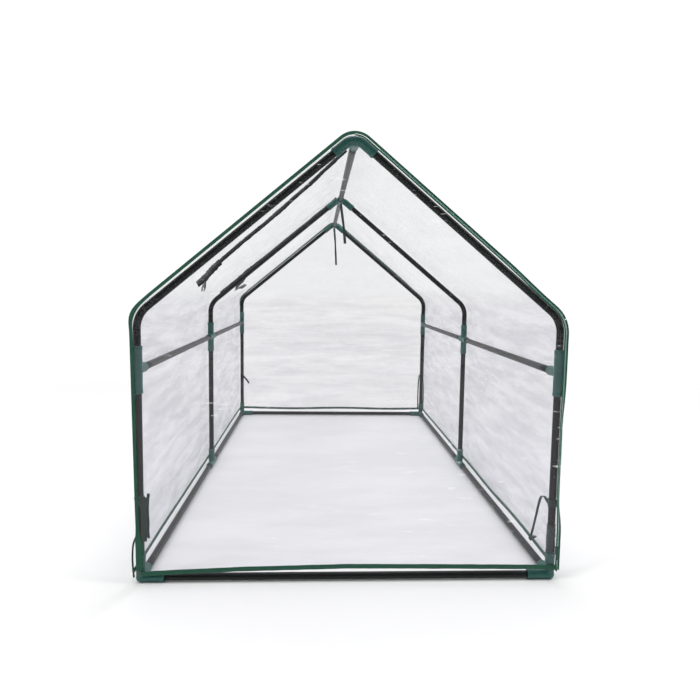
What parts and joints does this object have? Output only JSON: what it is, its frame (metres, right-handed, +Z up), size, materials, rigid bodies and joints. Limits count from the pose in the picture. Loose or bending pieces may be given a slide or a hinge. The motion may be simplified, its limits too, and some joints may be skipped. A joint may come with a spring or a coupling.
{
  "type": "mini greenhouse",
  "caption": "Low gable-roofed tunnel greenhouse of push-fit steel tubes and plastic socket joints under a clear film cover with a side that unzips and lifts.",
  "frame": {"origin": "on the ground under the middle of the frame", "axes": "+Z up, +Y along the ridge from the front gable to the rear gable, +X towards the side that unzips"},
  "size_m": [0.915, 1.818, 0.9506],
  "materials": {
    "tube_steel": "satin powder coat, near black with a green cast",
    "socket_plastic": "moulded, semi-matt, dark teal green",
    "clear_film": "clear flexible film, glossy, wrinkled",
    "binding": "sewn woven binding tape, green",
    "zip_tape": "woven zip tape with a moulded coil, green",
    "zip_slider": "die-cast slider and pull, painted green",
    "tie_ribbon": "woven ribbon, dark green"
  },
  "bodies": {
    "frame_and_cover": {"front_gable_binding": "binding", "front_gable_film": "clear_film", "front_ground_bar": "tube_steel", "front_left_corner_tie": "tie_ribbon", "front_left_ground_joint": "socket_plastic", "front_left_ground_rail": "tube_steel", "front_left_lower_leg": "tube_steel", "front_left_roof_hoop": "tube_steel", "front_left_side_joint": "socket_plastic", "front_left_side_rail": "tube_steel", "front_ridge_joint": "socket_plastic", "front_ridge_tube": "tube_steel", "front_right_corner_tie": "tie_ribbon", "front_right_ground_joint": "socket_plastic", "front_right_ground_rail": "tube_steel", "front_right_lower_leg": "tube_steel", "front_right_roof_hoop": "tube_steel", "front_right_side_joint": "socket_plastic", "front_right_side_rail": "tube_steel", "front_roof_tie": "tie_ribbon", "left_roof_film": "clear_film", "left_wall_film": "clear_film", "middle_left_ground_joint": "socket_plastic", "middle_left_lower_leg": "tube_steel", "middle_left_roof_hoop": "tube_steel", "middle_left_side_joint": "socket_plastic", "middle_ridge_joint": "socket_plastic", "middle_ridge_tie": "tie_ribbon", "middle_right_ground_joint": "socket_plastic", "middle_right_lower_leg": "tube_steel", "middle_right_roof_hoop": "tube_steel", "middle_right_side_joint": "socket_plastic", "middle_roof_tie": "tie_ribbon", "rear_gable_binding": "binding", "rear_gable_film": "clear_film", "rear_ground_bar": "tube_steel", "rear_left_ground_joint": "socket_plastic", "rear_left_ground_rail": "tube_steel", "rear_left_lower_leg": "tube_steel", "rear_left_roof_hoop": "tube_steel", "rear_left_side_joint": "socket_plastic", "rear_left_side_rail": "tube_steel", "rear_ridge_joint": "socket_plastic", "rear_ridge_tie": "tie_ribbon", "rear_ridge_tube": "tube_steel", "rear_right_corner_tie": "tie_ribbon", "rear_right_ground_joint": "socket_plastic", "rear_right_ground_rail": "tube_steel", "rear_right_lower_leg": "tube_steel", "rear_right_roof_hoop": "tube_steel", "rear_right_side_joint": "socket_plastic", "rear_right_side_rail": "tube_steel"},
    "roof_flap": {"right_roof_flap": "clear_film", "front_flap_roof_zip_tape": "zip_tape", "rear_flap_roof_zip_tape": "zip_tape"},
    "wall_flap": {"right_wall_flap": "clear_film", "front_flap_wall_zip_tape": "zip_tape", "rear_flap_wall_zip_tape": "zip_tape"},
    "front_slider": {"front_zip_slider": "zip_slider"},
    "rear_slider": {"rear_zip_slider": "zip_slider"}
  },
  "joints": [
    {"name": "roof_flap_hinge", "type": "hinge", "parent": "frame_and_cover", "child": "roof_flap", "pos_m": [0, 0, 0.94988], "axis": [0, -1, 0], "range_deg": [0, 235]},
    {"name": "wall_flap_fold", "type": "hinge", "parent": "roof_flap", "child": "wall_flap", "pos_m": [0.45345, 0, 0.57337], "axis": [0, -1, 0], "range_deg": [0, 106]},
    {"name": "front_zip", "type": "slide", "parent": "frame_and_cover", "child": "front_slider", "axis": [0, 0, 1], "range_m": [0, 0.46]},
    {"name": "rear_zip", "type": "slide", "parent": "frame_and_cover", "child": "rear_slider", "axis": [0, 0, 1], "range_m": [0, 0.46]}
  ]
}
